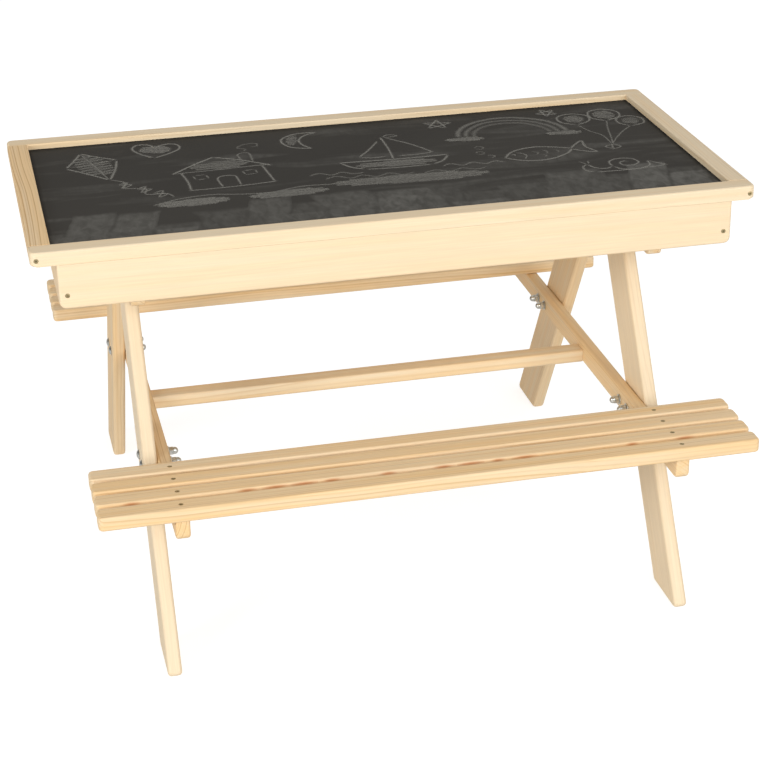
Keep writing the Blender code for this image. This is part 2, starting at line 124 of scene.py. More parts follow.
# Chalk drawings: place of each in millimetres, its turn in degrees, its size, and its strokes.
# A stroke is its width in millimetres, its pressure, and the points that it runs through.
HOUSE = [
    (5.2, 0.85, [(-42, -36), (-41, -8), (-42, 21)]),
    (5.2, 0.85, [(43, -35), (42, -6), (42, 20)]),
    (5.2, 0.80, [(-46, -36), (0, -37), (47, -35)]),
    (4.9, 0.75, [(-50, 20), (0, 19), (51, 20)]),
    (6.5, 0.50, scribble(0, 33, 30, 12, 5)),
    (5.7, 0.95, [(-53, 17), (-26, 40), (1, 61)]),
    (5.7, 0.95, [(-1, 61), (27, 41), (53, 16)]),
    (4.7, 0.80, [(-10, -35), (-10, -8), (-3, -2), (7, -3), (9, -10), (9, -35)]),
    *sides(4.2, 0.70, [(-32, 8), (-19, 8), (-19, -5), (-32, -5), (-32, 8)], spans=1),
    *sides(4.2, 0.70, [(19, 8), (32, 8), (32, -5), (19, -5), (19, 8)], spans=1),
    (4.4, 0.70, [(26, 42), (26, 62), (37, 62), (37, 33)]),
    (4.4, 0.50, [(32, 68), (37, 76), (30, 84), (40, 93), (52, 91), (50, 82), (42, 84)]),
]
BOAT = [
    (5.7, 0.95, [(-60, 0), (-20, -2), (22, -1), (60, 1)]),
    (5.7, 0.90, [(-60, 0), (-50, -17), (-36, -27)]),
    (5.7, 0.90, [(60, 1), (51, -16), (37, -27)]),
    (5.5, 0.85, [(-36, -27), (0, -29), (37, -27)]),
    (6.0, 0.60, scribble(0, -14, 44, 9, 4)),
    (9.0, 0.42, scribble(6, -66, 84, 12, 6)),
    (4.9, 0.90, [(0, 0), (1, 38), (0, 78)]),
    *sides(5.2, 0.80, [(5, 74), (28, 44), (47, 12), (26, 9), (5, 10)]),
    *sides(5.2, 0.80, [(-5, 64), (-20, 38), (-36, 12), (-20, 9), (-5, 10)]),
    (4.4, 0.80, [(1, 78), (10, 84), (19, 79), (10, 75), (1, 77)]),
    (4.9, 0.65, [(-98, -36), (-86, -29), (-74, -37), (-62, -30), (-50, -38), (-38, -36)]),
    (4.9, 0.65, [(44, -37), (56, -30), (68, -38), (80, -31), (92, -39), (104, -32), (114, -38)]),
    (
        4.9,
        0.55,
        [(-84, -50), (-70, -43), (-56, -51), (-42, -44), (-28, -52), (-14, -45), (0, -52), (14, -46)],
    ),
    (4.9, 0.55, [(22, -53), (36, -46), (50, -54), (64, -47), (78, -54), (92, -48)]),
]
FISH = [
    (5.5, 0.90, [(-44, 1), (-24, 21), (6, 27), (33, 14), (48, 2)]),
    (5.5, 0.90, [(-44, 1), (-24, -18), (5, -24), (32, -13), (48, 2)]),
    (5.5, 0.85, [(46, 3), (60, 17), (72, 24), (66, 3), (71, -20), (58, -13), (46, 1)]),
    (4.4, 0.75, [(-23, 17), (-14, 2), (-23, -14)]),
    (4.4, 0.90, [(-32, 7), (-29, 10), (-26, 7), (-29, 4), (-32, 7)]),
    (4.2, 0.55, [(-4, 12), (2, 4), (-4, -4)]),
    (4.2, 0.55, [(10, 14), (16, 5), (10, -5)]),
    (4.2, 0.55, [(2, -2), (8, -9), (2, -15)]),
    (4.2, 0.55, [(24, 7), (29, 1), (24, -6)]),
    (3.9, 0.65, [(-60, 14), (-56, 19), (-51, 15), (-55, 10), (-60, 14)]),
    (3.9, 0.55, [(-69, 30), (-64, 36), (-58, 31), (-63, 25), (-69, 30)]),
    (3.9, 0.50, [(-63, 50), (-57, 56), (-50, 51), (-56, 44), (-63, 50)]),
]
KITE = [
    *sides(5.5, 0.90, [(0, 46), (14, 24), (30, 4), (16, -26), (-1, -56)]),
    *sides(5.5, 0.90, [(-1, -56), (-15, -28), (-30, 3), (-16, 23), (0, 46)]),
    (4.2, 0.65, [(0, 44), (1, 0), (-1, -54)]),
    (4.2, 0.65, [(-28, 4), (0, 3), (28, 4)]),
    (6.5, 0.55, scribble(0, -2, 19, 36, 9)),
    (4.4, 0.75, [(-1, -56), (10, -74), (4, -92), (22, -104), (18, -122), (38, -130), (40, -146)]),
    (4.7, 0.75, [(0, -79), (14, -84), (1, -90), (13, -75), (0, -79)]),
    (4.7, 0.75, [(13, -101), (27, -108), (15, -113), (25, -98), (13, -101)]),
    (4.7, 0.75, [(24, -122), (38, -130), (26, -135), (37, -119), (24, -122)]),
]
BALLOONS = [
    (5.2, 0.85, [(-24, 22), (-42, 34), (-43, 56), (-26, 67), (-8, 58), (-7, 36), (-24, 22)]),
    (5.2, 0.90, [(14, 34), (-3, 48), (-1, 72), (16, 82), (33, 71), (33, 48), (14, 34)]),
    (5.2, 0.80, [(40, 10), (27, 22), (28, 42), (43, 50), (58, 40), (57, 20), (40, 10)]),
    (6.5, 0.50, scribble(-25, 45, 12, 15, 6)),
    (6.5, 0.58, scribble(15, 58, 13, 17, 6)),
    (6.5, 0.42, scribble(43, 30, 10, 13, 5)),
    (3.9, 0.65, [(-24, 22), (-14, -4), (-2, -24), (4, -58)]),
    (3.9, 0.65, [(14, 34), (9, 0), (8, -28), (4, -58)]),
    (3.9, 0.65, [(40, 10), (26, -10), (14, -32), (4, -58)]),
    (4.4, 0.70, [(4, -58), (-6, -66), (4, -74), (13, -66), (4, -58), (1, -78)]),
]
STAR = sides(
    4.9,
    0.85,
    [(-20, 7), (1, 6), (21, 7), (4, -6), (-13, -18), (-6, 3), (0, 22), (6, 3), (12, -18), (-5, -6), (-20, 7)],
)
HEART = [
    (5.5, 0.90, [(0, 12), (-8, 23), (-22, 23), (-27, 8), (-17, -9), (0, -25)]),
    (5.5, 0.90, [(0, 12), (9, 24), (23, 22), (27, 7), (16, -10), (0, -25)]),
    (6.5, 0.60, scribble(0, 5, 18, 13, 6)),
]
MOON = [
    (5.5, 0.90, [(8, 34), (-20, 26), (-34, 0), (-20, -26), (8, -34)]),
    (5.5, 0.90, [(8, 34), (-7, 18), (-12, 0), (-7, -18), (8, -34)]),
    (6.0, 0.52, scribble(-21, 0, 7, 20, 7)),
]
SNAIL = [
    (
        4.9,
        0.85,
        [(6, 2), (1, 7), (-7, 3), (-6, -8), (6, -12), (17, -3), (14, 13), (-2, 20), (-19, 11), (-21, -8)],
    ),
    (4.9, 0.85, [(-21, -8), (-14, -22), (6, -27), (26, -20), (31, 0)]),
    (5.2, 0.85, [(-21, -8), (-34, -14), (-46, -4), (-50, 10)]),
    (5.2, 0.80, [(-52, -24), (-20, -27), (12, -28), (50, -25)]),
    (5.2, 0.75, [(31, 0), (40, -16), (50, -25)]),
    (4.2, 0.70, [(-50, 10), (-57, 24)]),
    (4.2, 0.70, [(-48, 10), (-44, 25)]),
    (5.2, 0.70, [(-50, 10), (-60, 2), (-61, -14), (-52, -24)]),
]
HILLS = [
    (5.2, 0.70, [(-120, -8), (-82, 8), (-40, 12), (0, 2), (38, -2), (80, 9), (122, 4)]),
    (9.0, 0.50, scribble(-66, -10, 46, 12, 6)),
    (9.0, 0.44, scribble(58, -12, 52, 11, 6)),
]
RAINBOW = [
    (11.0, 0.62, arch(74)),
    (11.0, 0.50, arch(63)),
    (11.0, 0.40, arch(52)),
    (7.0, 0.50, scribble(-66, -6, 26, 8, 4)),
    (7.0, 0.50, scribble(68, -5, 24, 8, 4)),
]
DRAWINGS = [
    ("kite", (-352, 108), 14, 1.20, KITE),
    ("heart", (-264, 146), -9, 1.20, HEART),
    ("house", (-186, 20), 3, 1.30, HOUSE),
    ("hills", (-176, -62), 2, 1.00, HILLS),
    ("moon", (-52, 136), -14, 1.10, MOON),
    ("boat", (44, 26), -2, 1.25, BOAT),
    ("star_middle", (138, 158), -12, 1.00, STAR),
    ("rainbow", (228, 84), -4, 1.05, RAINBOW),
    ("fish", (236, -6), 8, 1.10, FISH),
    ("star_right", (302, 168), 20, 0.80, STAR),
    ("balloons", (352, 74), -8, 1.15, BALLOONS),
    ("snail", (338, -72), 4, 1.00, SNAIL),
]
STROKE_STEP = 0.003  # length of one piece of a chalk stroke
STROKE_LIFT = 0.00008  # from the chalkboard up to the first stroke
STROKE_RISE = 0.00004  # from one end of a stroke up to the other, so that it can cross itself
STROKE_LAYERS = 10
UNSTEADY = 0.8  # how far a hand strays from the points of a stroke, in millimetres

# Boards that have wood screws, and how far from the middle of the table and how high these are, in metres
BOARD_NAMES = ("lid_{}_rail", "box_{}_apron", "{}_slat_1", "{}_slat_2", "{}_slat_3", "{}_slat_4")
SCREWED_BOARDS = [name.format(end) for end in ENDS for name in BOARD_NAMES]
LID_SCREWS = (0.4525, 0.5197)
APRON_SCREWS = (0.419, 0.472)
LEVEL_WITH_BEAM = 0.3156
SCREW_SUNK = 0.00015

# Sizes of the boards that their boxes don't give
LEG_WIDTH = 0.072
RAIL_ROUNDING = 0.0031
RAIL_END_ROUNDING = 0.0079
SHARPENED = 0.9  # how much of the rounding is taken off
TIGHTENED = 0.0002  # how far the sharpened edge reaches down towards the apron
KNOT_ROW_DEPTH = 0.0030  # from the top of a slat down to its row of side knots
DISH_DEPTH = 0.0007

# Sizes of the M6 bolts, washers and cap nuts that their boxes don't give
SHANK_RADIUS = 0.0030
TIP_RADIUS = 0.0024
TIP_LENGTH = 0.0006
HEAD_HEIGHT = 0.0033
NECK_WIDTH = 0.0066
NECK_TOP = 0.0005
NECK_BOTTOM = -0.0040
BORE_RADIUS = 0.0033
BORE_DEPTH = 0.0080
HEXAGON_HEIGHT = 0.0055
CAP_RADIUS = 0.00475

# The camera's place in metres, its turn in degrees and its focal length in millimetres
VIEWPOINT = (-0.5419, -2.4961, 1.3873)
VIEW_TURN = (65.1456, 0.8452, -13.0665)
FOCAL_LENGTH = 94.375


def linear(hex_colour):
    """Turns an sRGB hex colour into linear red, green and blue."""
    channels = (int(hex_colour[i : i + 2], 16) / 255 for i in (1, 3, 5))
    return tuple(c / 12.92 if c <= 0.04045 else ((c + 0.055) / 1.055) ** 2.4 for c in channels)


class PineSettings(bpy.types.PropertyGroup):
    """Colours and growth of the planed pine."""

    pale: FloatVectorProperty(
        name="Pale wood",
        description="Colour of the wood that grew in spring",
        subtype="COLOR",
        default=linear("#EBD7B6"),
    )
    honey: FloatVectorProperty(
        name="Warm wood",
        description="Colour of the warmer boards and streaks",
        subtype="COLOR",
        default=linear("#EDCA96"),
    )
    late: FloatVectorProperty(
        name="Late wood",
        description="Colour of the narrow line that ends each year's ring",
        subtype="COLOR",
        default=linear("#C79C62"),
    )
    knot: FloatVectorProperty(
        name="Knot",
        description="Colour of the knots",
        subtype="COLOR",
        default=linear("#A0683C"),
    )
    side_knot: FloatVectorProperty(
        name="Side knot",
        description="Colour of the knots that are cut lengthwise",
        subtype="COLOR",
        default=linear("#BE7844"),
    )
    ring_width: FloatProperty(
        name="Ring width",
        description="How thick the tree grew in a year",
        subtype="DISTANCE",
        unit="LENGTH",
        default=0.0036,
    )


class ChalkboardSettings(bpy.types.PropertyGroup):
    """Colours of the chalkboard and the chalk."""

    paint: FloatVectorProperty(
        name="Paint",
        description="Colour of the clean chalkboard",
        subtype="COLOR",
        default=linear("#3A3732"),
    )
    smear: FloatVectorProperty(
        name="Wiped chalk",
        description="Colour of the dust that is left where chalk was wiped",
        subtype="COLOR",
        default=linear("#77756F"),
    )
    chalk: FloatVectorProperty(
        name="Chalk",
        description="Colour of a fresh stroke",
        subtype="COLOR",
        default=linear("#A3A098"),
    )


class FastenerSettings(bpy.types.PropertyGroup):
    """Sizes of the screws, and of what the bolts leave in the wood."""

    screw_head: FloatProperty(
        name="Screw head",
        description="Diameter of a countersunk screw head",
        subtype="DISTANCE",
        unit="LENGTH",
        default=0.0060,
    )
    head_dish: FloatProperty(
        name="Dish round a bolt head",
        description="How far the wood is crushed beyond the rim of a bolt's head",
        subtype="DISTANCE",
        unit="LENGTH",
        default=0.0008,
    )


class StudioSettings(bpy.types.PropertyGroup):
    """Strength of the studio light."""

    key: FloatProperty(
        name="Key light",
        description="Power of the large light in front of the table and to its right",
        subtype="POWER",
        unit="POWER",
        default=111.0,
    )
    fill: FloatProperty(
        name="Fill light",
        description="Power of the large light to the left of the table",
        subtype="POWER",
        unit="POWER",
        default=148.0,
    )
    sky: FloatProperty(
        name="Surround",
        description="Strength of the even light from all round",
        default=0.62,
    )


def feed(node, inputs):
    """Gives each input of a node a value, an output, or another node's first output."""
    for key, value in inputs.items():
        if isinstance(value, bpy.types.Node):
            value = value.outputs[0]
        if isinstance(value, bpy.types.NodeSocket):
            node.id_data.links.new(value, node.inputs[key])
        else:
            node.inputs[key].default_value = value


def add_node(tree, kind, *inputs, ramp=None, **settings):
    """Adds a shader node of a kind, such as "Bump" or "Math ADD", with its links and settings.

    Its inputs are given in order, or by name or number in a dictionary. A ramp is (place, grey) pairs.
    """
    kind, *operation = kind.split()
    node = tree.nodes.new("ShaderNode" + kind)
    if operation:
        node.operation = operation[0]
    for name, value in settings.items():
        setattr(node, name, value)
    for number, value in enumerate(inputs):
        feed(node, value if isinstance(value, dict) else {number: value})
    if ramp:
        elements = node.color_ramp.elements
        while len(elements) < len(ramp):
            elements.new(0.5)
        for element, (place, grey) in zip(elements, ramp):
            element.position = place
            element.color = (grey, grey, grey, 1.0)
    return node


def new_material(name):
    """A material, what adds a node to it, and its plain Principled shader."""
    material = bpy.data.materials.new(name)
    material.use_nodes = True
    tree = material.node_tree
    return material, partial(add_node, tree), tree.nodes["Principled BSDF"]


def planed_pine(settings):
    """Planed and sanded pine under a clear matt finish.

    The rings show as long lines and arches on the faces and as arcs on the ends, with fine fibres
    between them, slow changes of warmth, and a knot here and there that the rings part round.
    """
    material, add, shader = new_material("planed pine, clear matt finish")
    grain = add("Attribute", attribute_name="grain").outputs["Vector"]
    growth = add("Attribute", attribute_name="growth").outputs["Vector"]
    along = add("SeparateXYZ", grain).outputs["X"]
    warmth, contrast, knots = add("SeparateXYZ", growth).outputs

    # Scattered knots are 5 to 11 mm across and few
    per_metre = 7.0
    squeezed = add("VectorMath MULTIPLY", grain, (0.75, 1.0, 0.0))
    cells = add("TexVoronoi", {"Vector": squeezed, "Scale": per_metre}, voronoi_dimensions="2D").outputs
    away = add("Math DIVIDE", cells["Distance"], per_metre)
    chance = add("SeparateColor", cells["Color"]).outputs
    likely = add("Math GREATER_THAN", chance["Red"], 0.70)
    scattered = add("Math COMPARE", knots, SCATTERED, 0.1)
    there = add("Math MULTIPLY", likely, scattered)
    knot_radius = add("MapRange", {0: chance["Green"], 3: 0.0024, 4: 0.0054})
    reach = add("Math DIVIDE", away, knot_radius)
    inside = add("MapRange", reach, 1.15, 0.80, interpolation_type="SMOOTHSTEP")
    knot = add("Math MULTIPLY", inside, there)
    parting = add("MapRange", {0: away, 2: 0.034, 3: 0.010, 4: 0.0}, interpolation_type="SMOOTHERSTEP")
    push = add("Math MULTIPLY", parting, there)

    # Side knots lie 35 mm apart in a row, each cut lengthwise into a streak 12 to 30 mm long
    row_reach = add("Attribute", attribute_name="row_reach").outputs["Fac"]
    order = add("Math DIVIDE", along, 0.035)
    which = add("Math FLOOR", order)
    own = add("TexWhiteNoise", {"W": which}, noise_dimensions="1D").outputs["Color"]
    fate = add("SeparateColor", own).outputs
    beside = add("Math FRACT", order)
    centre = add("Math SUBTRACT", beside, 0.5)
    streak_length = add("MapRange", {0: fate["Red"], 3: 0.26, 4: 0.62})
    lengthwise = add("Math DIVIDE", centre, streak_length)
    sideways = add("Math DIVIDE", row_reach, 0.0026)
    oval = add("CombineXYZ", {"X": lengthwise, "Y": sideways})
    spread = add("VectorMath LENGTH", oval).outputs["Value"]
    filled = add("MapRange", {0: spread, 1: 1.25, 2: 0.10, 4: 0.80}, interpolation_type="SMOOTHSTEP")
    grown = add("Math GREATER_THAN", fate["Green"], 0.45)
    side_knot = add("Math MULTIPLY", filled, grown)

    # The heart of the tree wanders by a centimetre or two along a board, which draws the arches
    slow = add("VectorMath MULTIPLY", grain, (1.6, 5.0, 5.0))
    wander = add("TexNoise", {"Vector": slow, "Scale": 1.0, "Detail": 2.0, "Roughness": 0.45}).outputs
    centred = add("VectorMath SUBTRACT", wander["Color"], (0.5, 0.5, 0.5))
    drift = add("VectorMath MULTIPLY", centred, (0.0, 0.035, 0.035))
    moved = add("VectorMath ADD", grain, drift)
    section = add("VectorMath MULTIPLY", moved, (0.0, 1.0, 1.0))
    radius = add("VectorMath LENGTH", section).outputs["Value"]
    pushed = add("Math ADD", radius, push)
    years = add("Math DIVIDE", pushed, settings.ring_width)
    pace = add("TexNoise", {"W": years, "Scale": 0.35, "Detail": 1.0}, noise_dimensions="1D")
    uneven = add("Math MULTIPLY_ADD", pace, 1.6, years)
    in_year = add("Math FRACT", uneven)
    year = add("Math FLOOR", uneven)
    seasons = [(0.0, 0.10), (0.40, 0.06), (0.66, 0.34), (0.86, 1.0), (0.93, 0.85), (1.0, 0.10)]
    ring = add("ValToRGB", in_year, ramp=seasons)
    harshness = add("TexWhiteNoise", {"W": year}, noise_dimensions="1D").outputs["Value"]
    weight = add("MapRange", {0: harshness, 3: 0.15, 4: 1.15})
    late = add("Math MULTIPLY", ring, weight)

    # Fibres are finer than a millimetre, and are drawn 2 mm wide so that they show. Streaks are 10 mm wide.
    thread_like = add("VectorMath MULTIPLY", grain, (14.0, 520.0, 520.0))
    fibre = add("TexNoise", {"Vector": thread_like, "Scale": 1.0, "Detail": 3.0})
    long_streaks = add("VectorMath MULTIPLY", grain, (2.6, 95.0, 95.0))
    streak = add("TexNoise", {"Vector": long_streaks, "Scale": 1.0, "Detail": 3.0})
    streaky = add("MapRange", streak, 0.35, 0.75, -0.28, 0.52)

    lively = add("MapRange", {0: contrast, 2: 0.5, 3: 0.30, 4: 1.25})
    swayed = add("Math MULTIPLY", streaky, lively)
    warm = add("Math ADD", warmth, swayed, use_clamp=True)
    tones = {0: warm, 6: (*settings.pale, 1.0), 7: (*settings.honey, 1.0)}
    body = add("Mix", tones, data_type="RGBA").outputs[2]
    line = add("Math MULTIPLY", late, contrast, use_clamp=True)
    ringed = add("Mix", {0: line, 6: body, 7: (*settings.late, 1.0)}, data_type="RGBA").outputs[2]
    fine = add("MapRange", fibre, 0.3, 0.7, 0.955, 1.04)
    fibred = add("VectorMath SCALE", {0: ringed, "Scale": fine})
    core = add("MapRange", {0: reach, 3: 0.7075})
    knot_wood = add("VectorMath SCALE", {0: (*settings.knot,), "Scale": core})
    knotted = add("Mix", {0: knot, 6: fibred, 7: knot_wood}, data_type="RGBA").outputs[2]
    tones = {0: side_knot, 6: knotted, 7: (*settings.side_knot, 1.0)}
    colour = add("Mix", tones, data_type="RGBA").outputs[2]

    gloss = add("MapRange", {0: late, 3: 0.58, 4: 0.46})
    height = add("Math MULTIPLY_ADD", late, 0.45, fibre)
    relief = add("Bump", {"Strength": 0.35, "Distance": 0.00018, "Height": height})
    feed(shader, {"Base Color": colour, "Roughness": gloss, "Normal": relief})
    return material


def bare_plywood(settings):
    """Thin bare plywood: a peeled veneer with wide wild figure and short pores."""
    material, add, shader = new_material("bare plywood")
    grain = add("Attribute", attribute_name="grain").outputs["Vector"]

    # The figure's bands are 10 to 40 mm wide
    wide = add("VectorMath MULTIPLY", grain, (2.4, 11.0, 0.0))
    figure = add("TexNoise", {"Vector": wide, "Scale": 1.0, "Detail": 3.0, "Distortion": 0.8})
    contour = add("Math MULTIPLY", figure, 9.0)
    band = add("Math FRACT", contour)
    edge = add("ValToRGB", band, ramp=[(0.0, 0.2), (0.55, 0.1), (0.88, 0.8), (1.0, 0.2)])
    faint = add("Math MULTIPLY", edge, 0.45)
    tones = {0: faint, 6: (*settings.pale, 1.0), 7: (*settings.honey, 1.0)}
    body = add("Mix", tones, data_type="RGBA").outputs[2]

    # Pores are finer than a millimetre, and are drawn 1.6 mm wide so that they show
    short = add("VectorMath MULTIPLY", grain, (45.0, 620.0, 0.0))
    pores = add("TexNoise", {"Vector": short, "Scale": 1.0, "Detail": 2.0})
    fine = add("MapRange", pores, 0.3, 0.7, 0.88, 1.04)
    colour = add("VectorMath SCALE", {0: body, "Scale": fine})
    relief = add("Bump", {"Strength": 0.3, "Distance": 0.0001, "Height": pores})
    feed(shader, {"Base Color": colour, "Roughness": 0.72, "Normal": relief})
    return material


def chalkboard_paint(settings):
    """Matt rolled chalkboard paint with wiped chalk dust.

    The paint has a fine tooth, and painted shade darkens it in the corners along the rails. The dust lies in
    square patches along the front edge, and thinly elsewhere.
    """
    material, add, shader = new_material("matt chalkboard paint with wiped chalk")
    place = add("TexCoord").outputs["Object"]
    axes = add("SeparateXYZ", place).outputs

    # The tooth of the paint is about 0.3 mm, and is drawn at 1.2 mm so that it shows
    tooth = add("TexNoise", {"Vector": place, "Scale": 800.0, "Detail": 2.0})
    cloud = add("TexNoise", {"Vector": place, "Scale": 5.0, "Detail": 3.0})
    shade = add("MapRange", cloud, 0.3, 0.7, 0.92, 1.12)
    clean = add("VectorMath SCALE", {0: (*settings.paint,), "Scale": shade})

    # Wipes lie along the board, 180 by 33 mm, and the strokes in the dust lie across it, 20 by 10 mm
    swept = add("VectorMath MULTIPLY", place, (95.0, 48.0, 1.0))
    drawn = {"Vector": swept, "Scale": 1.0, "Detail": 3.0, "Distortion": 0.6}
    streaked = add("MapRange", add("TexNoise", drawn), 0.3, 0.7, 0.45, 1.20)
    sweep = add("VectorMath MULTIPLY", place, (5.5, 30.0, 1.0))
    wiped = {"Vector": sweep, "Scale": 1.0, "Detail": 3.0, "Distortion": 0.4}
    dust = add("MapRange", {0: add("TexNoise", wiped), 1: 0.54, 2: 0.72, 4: 0.26})

    # Patches lie in two layers, 78 and 56 mm wide. Each reaches its own way back and has its own strength.
    jitter = add("TexNoise", {"Vector": place, "Scale": 26.0, "Detail": 2.0})
    for width, seed, slant in ((0.078, 3.3, 2.1), (0.056, 8.6, -4.2)):
        ragged = add("Math MULTIPLY_ADD", jitter, 0.22, seed)
        leaning = add("Math MULTIPLY_ADD", axes["Y"], slant, ragged)
        column = add("Math MULTIPLY_ADD", axes["X"], 1 / width, leaning)
        number = add("Math FLOOR", column)
        inside = add("Math PINGPONG", column, 0.5)
        flank = add("MapRange", {0: inside, 2: 0.09, 3: 0.45}, interpolation_type="SMOOTHSTEP")
        chance = add("TexWhiteNoise", {"W": number}, noise_dimensions="1D").outputs["Color"]
        own = add("SeparateColor", chance).outputs
        back = add("MapRange", {0: own["Red"], 3: -0.160, 4: -0.078})
        wavy = add("Math MULTIPLY_ADD", jitter, 0.012, back)
        beyond = add("Math SUBTRACT", wavy, axes["Y"])
        reached = add("MapRange", {0: beyond, 2: 0.012}, interpolation_type="SMOOTHSTEP")
        strength = add("MapRange", {0: own["Green"], 3: 0.12, 4: 0.62})
        patch = add("Math MULTIPLY", flank, reached)
        weighed = add("Math MULTIPLY", patch, strength)
        dust = add("Math MAXIMUM", dust, weighed)
    thin = add("Math MULTIPLY", dust, streaked, use_clamp=True)
    tones = {0: thin, 6: clean, 7: (*settings.smear, 1.0)}
    colour = add("Mix", tones, data_type="RGBA").outputs[2]

    # Painted shade: the board is darkened over the last 7 mm before the end rails and the last 14 mm before
    # the long rails, where the rails shade it
    for axis, rail, band in (("X", 0.433, 0.007), ("Y", 0.198, 0.014)):
        out = add("Math ABSOLUTE", axes[axis])
        # How much of the colour the painted shade leaves: all of it away from the rails, 0.30 at the rail
        light = add("MapRange", out, rail - band, rail - 0.001, 1.0, 0.30)
        colour = add("VectorMath SCALE", {0: colour, "Scale": light})
    relief = add("Bump", {"Strength": 0.25, "Distance": 0.00015, "Height": tooth})
    looks = {"Base Color": colour, "Roughness": 0.85, "Specular IOR Level": 0.22, "Normal": relief}
    feed(shader, looks)
    return material


def chalk_dust(settings):
    """Chalk: dense along the middle of a stroke, and broken into grains where "chalk" falls to 0."""
    material, add, shader = new_material("white chalk")
    place = add("TexCoord").outputs["Object"]
    mark = add("Attribute", attribute_name="chalk").outputs["Fac"]

    # The grains follow the tooth of the paint, and are drawn 1.4 mm wide so that they show
    grains = add("TexNoise", {"Vector": place, "Scale": 700.0, "Detail": 2.0})
    uneven = add("Math SUBTRACT", grains, 0.5)
    rough_mark = add("Math MULTIPLY_ADD", uneven, 0.45, mark)
    covered = add("MapRange", {0: rough_mark, 2: 0.95, 4: 0.70})
    touched = add("MapRange", {0: mark, 2: 0.25})
    alpha = add("Math MULTIPLY", covered, touched)
    tint = add("MapRange", grains, 0.3, 0.7, 0.85, 1.10)
    colour = add("VectorMath SCALE", {0: (*settings.chalk,), "Scale": tint})
    looks = {"Base Color": colour, "Alpha": alpha, "Roughness": 0.95, "Specular IOR Level": 0.1}
    feed(shader, looks)
    return material


def plated_steel(name, bright, worn, roughness):
    """Zinc plated steel: a bright skin with faint cloudy tint and small scratches from the tools."""
    material, add, shader = new_material(name)
    place = add("TexCoord").outputs["Object"]

    # The clouds are 2.4 mm wide and the scratches 0.5 mm
    cloud = add("TexNoise", {"Vector": place, "Scale": 420.0, "Detail": 3.0})
    blotch = add("MapRange", cloud, 0.35, 0.70)
    tones = {0: blotch, 6: (*linear(bright), 1.0), 7: (*linear(worn), 1.0)}
    tint = add("Mix", tones, data_type="RGBA").outputs[2]
    scuffs = add("TexNoise", {"Vector": place, "Scale": 1900.0, "Detail": 2.0})
    gloss = add("MapRange", scuffs, 0.3, 0.7, roughness - 0.07, roughness + 0.10)
    relief = add("Bump", {"Strength": 0.15, "Distance": 0.00005, "Height": scuffs})
    feed(shader, {"Base Color": tint, "Metallic": 1.0, "Roughness": gloss, "Normal": relief})
    return material


def made_once(name, make, *values):
    """The material of that name, made the first time that it is asked for."""
    if name not in materials:
        materials[name] = make(*values)
    return materials[name]


def pine():
    """The material of all the timber."""
    return made_once("pine", planed_pine, bpy.context.scene.picnic_pine)


def bright_zinc():
    """The material of the bolts, washers and nuts."""
    return made_once("bright zinc", plated_steel, "bright zinc plated steel", "#E6E6E0", "#C2C3BE", 0.30)


def yellow_zinc():
    """The material of the wood screws."""
    return made_once("yellow zinc", plated_steel, "yellow zinc plated steel", "#BCAA80", "#94876A", 0.40)


def box_middle(node):
    """The middle of a node's box."""
    low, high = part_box(node)
    return (low + high) / 2


def box_sides(node):
    """How long a node's box is along X, Y and Z."""
    low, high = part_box(node)
    return [far - near for near, far in zip(low, high)]


def outer_face(node, axis):
    """How far out a node reaches along an axis."""
    low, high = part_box(node)
    return max(low.dot(axis), high.dot(axis))


def deselect():
    """Leaves nothing selected."""
    bpy.ops.object.select_all(action="DESELECT")


def choose(*objects):
    """Selects only these, and makes the first one active."""
    deselect()
    for obj in objects:
        obj.select_set(True)
    bpy.context.view_layer.objects.active = objects[0]


def new_object(name, mesh):
    """Adds an object to the scene at the origin."""
    obj = bpy.data.objects.new(name, mesh)
    bpy.context.scene.collection.objects.link(obj)
    return obj


def settle(obj):
    """Moves an object's place, turn and size into its mesh."""
    choose(obj)
    bpy.ops.object.transform_apply(location=True, rotation=True, scale=True)


def edit_all(obj):
    """Opens an object in edit mode, with its whole mesh selected."""
    choose(obj)
    bpy.ops.object.mode_set(mode="EDIT")
    bpy.ops.mesh.select_all(action="SELECT")


def apply_modifiers(obj):
    """Makes an object's modifiers part of its mesh."""
    choose(obj)
    for modifier in list(obj.modifiers):
        bpy.ops.object.modifier_apply(modifier=modifier.name)


def boolean(obj, other, operation):
    """Cuts, trims or joins an object with another, which is then removed."""
    modifier = obj.modifiers.new(operation.title(), "BOOLEAN")
    modifier.object = other
    modifier.operation = operation
    modifier.solver = "EXACT"
    apply_modifiers(obj)
    bpy.data.objects.remove(other, do_unlink=True)


def clean_mesh(obj):
    """Merges doubled points and turns all faces outwards."""
    edit_all(obj)
    bpy.ops.mesh.remove_doubles(threshold=0.000005)
    bpy.ops.mesh.normals_make_consistent(inside=False)
    bpy.ops.object.mode_set(mode="OBJECT")


def placed_copy(model, name, matrix):
    """A copy of a model with its own mesh, and its place in the mesh."""
    mesh = model.data.copy()
    mesh.transform(matrix)
    mesh.name = name
    return new_object(name, mesh)


def finished(piece, material, body):
    """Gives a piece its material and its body."""
    piece.data.materials.clear()
    piece.data.materials.append(material)
    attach(piece, body)


def pointing(axis, spin=0.0):
    """A turn that points a model's Z axis along the given one."""
    return axis.to_track_quat("Z", "Y").to_matrix().to_4x4() @ Matrix.Rotation(spin, 4, "Z")


